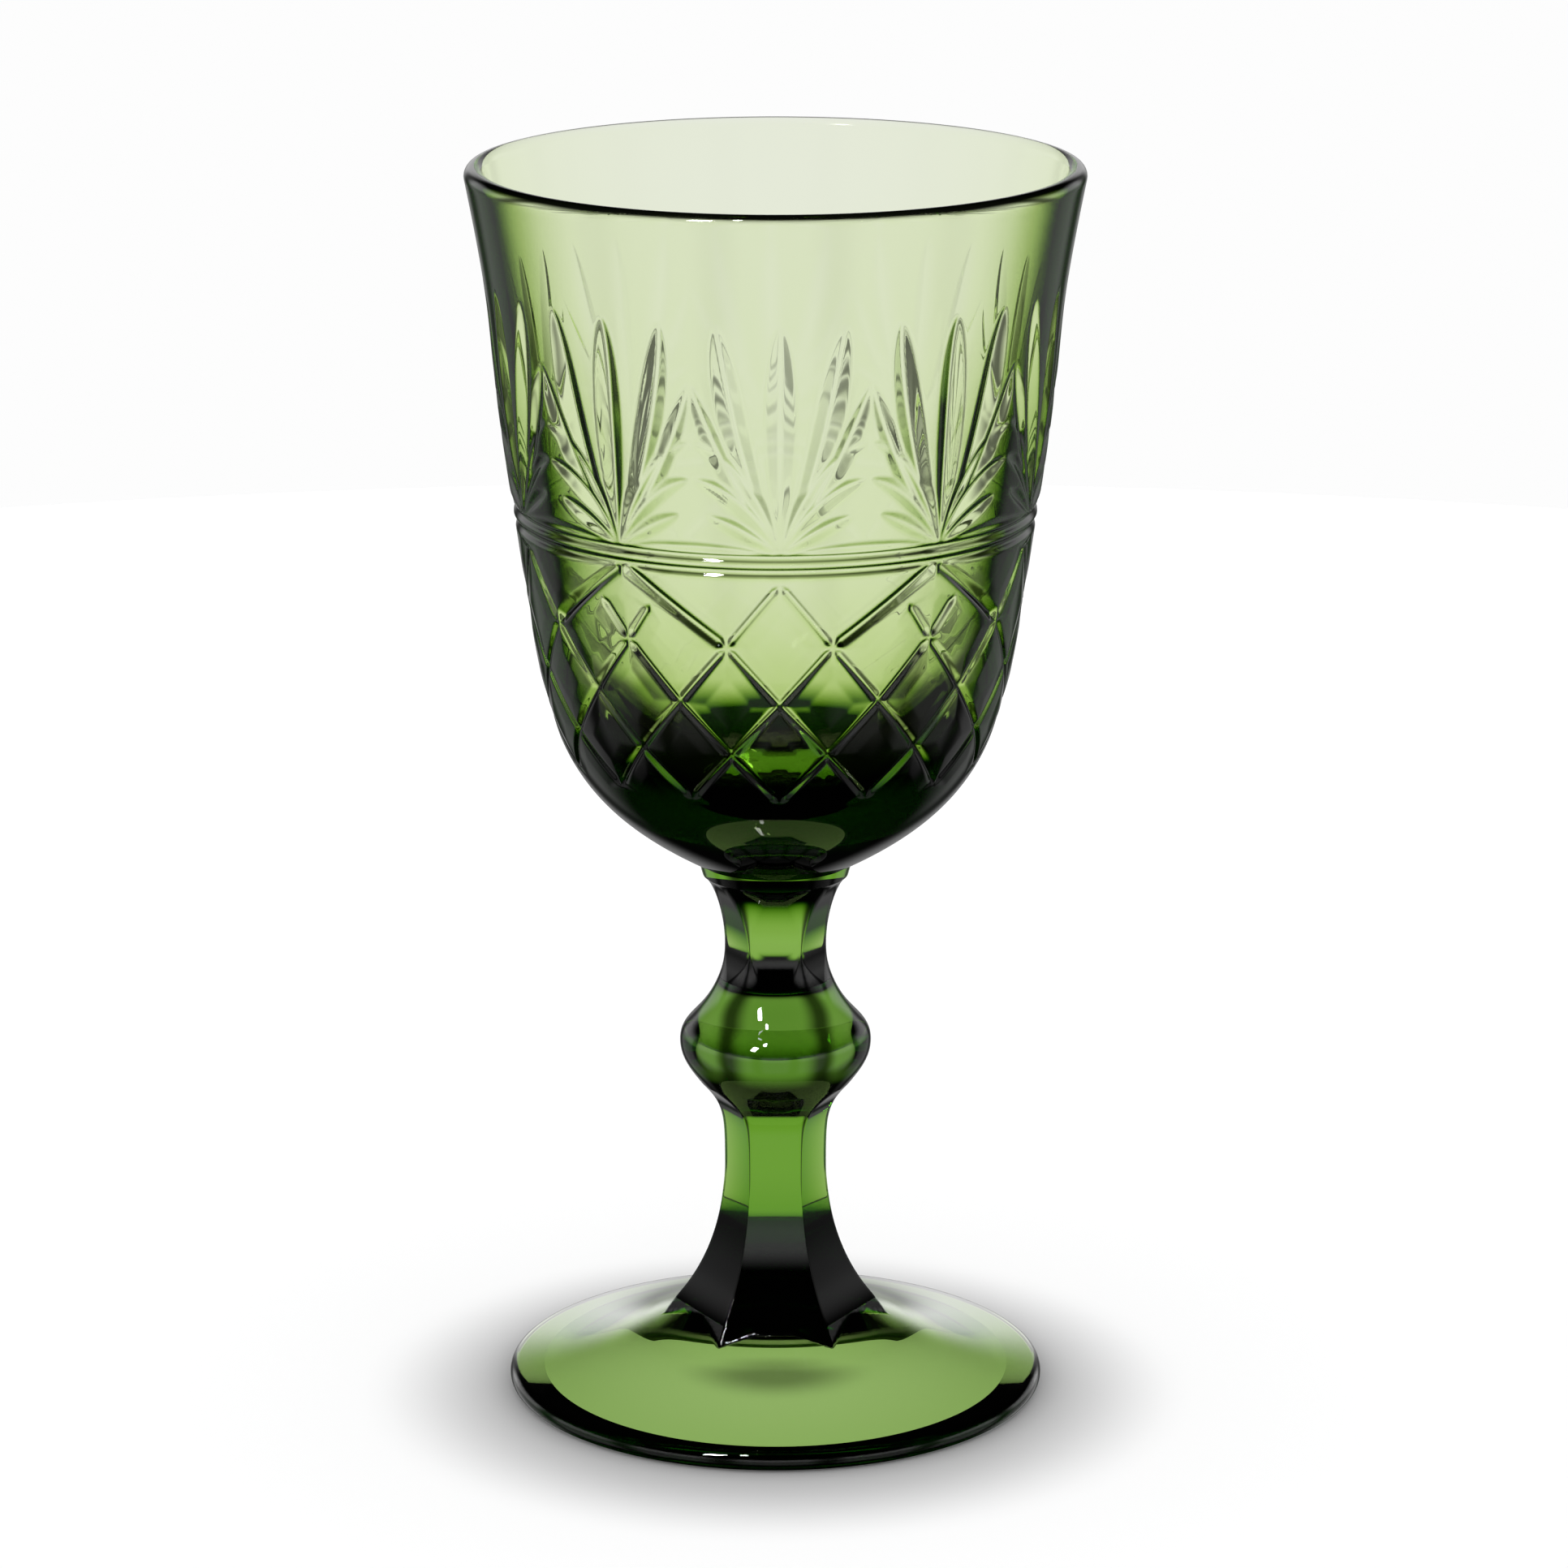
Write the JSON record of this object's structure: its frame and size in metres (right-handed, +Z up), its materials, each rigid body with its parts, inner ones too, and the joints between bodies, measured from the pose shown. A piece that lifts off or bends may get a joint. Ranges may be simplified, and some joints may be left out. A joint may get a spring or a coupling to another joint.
{
  "type": "wine glass",
  "caption": "Stemmed pressed-glass goblet with a flared bowl cut with fans and diamonds, a knopped faceted stem and a round foot.",
  "frame": {"origin": "centre of the ring that the foot stands on, at table level", "axes": "+Z up along the axis of the stem and bowl; -Y faces the middle of one fan and one flat of the stem"},
  "size_m": [0.0846, 0.0846, 0.175],
  "materials": {
    "bowl_glass": "polished, green through the glass",
    "stem_glass": "polished, green through the glass"
  },
  "bodies": {
    "root": {"bowl": "bowl_glass", "stem_collar": "stem_glass", "upper_stem": "stem_glass", "knop": "stem_glass", "lower_stem": "stem_glass", "foot": "stem_glass"}
  },
  "joints": []
}
